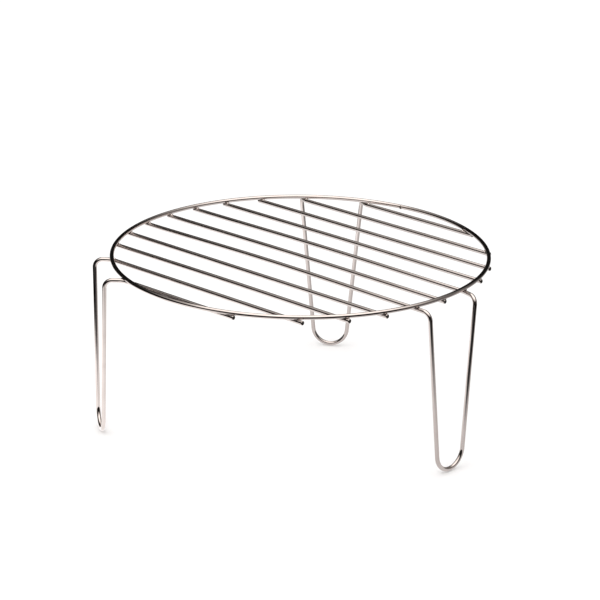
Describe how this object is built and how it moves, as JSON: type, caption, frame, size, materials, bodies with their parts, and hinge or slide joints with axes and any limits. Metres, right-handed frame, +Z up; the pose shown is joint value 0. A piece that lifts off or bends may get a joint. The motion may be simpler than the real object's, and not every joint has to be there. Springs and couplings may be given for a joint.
{
  "type": "cooling rack",
  "caption": "Round chromed wire cooling rack: a rim ring over parallel crossbars, raised on hairpin legs bent from the crossbar wires.",
  "frame": {"origin": "on the surface that the feet stand on, under the middle of the rack's bounding box", "axes": "+Z up; +X runs along the crossbars towards the front leg; +Y across the crossbars towards crossbar 1"},
  "size_m": [0.2744, 0.263, 0.1216],
  "materials": {
    "chrome_wire": "bright plated wire, polished",
    "weld_spot": "plated resistance weld, slightly dull and heat-darkened"
  },
  "bodies": {
    "root": {"rim_ring": "chrome_wire", "crossbar_03": "chrome_wire", "crossbar_04": "chrome_wire", "crossbar_06": "chrome_wire", "crossbar_08": "chrome_wire", "crossbar_09": "chrome_wire", "front_leg_wire": "chrome_wire", "left_leg_wire": "chrome_wire", "right_leg_wire": "chrome_wire"}
  },
  "joints": []
}
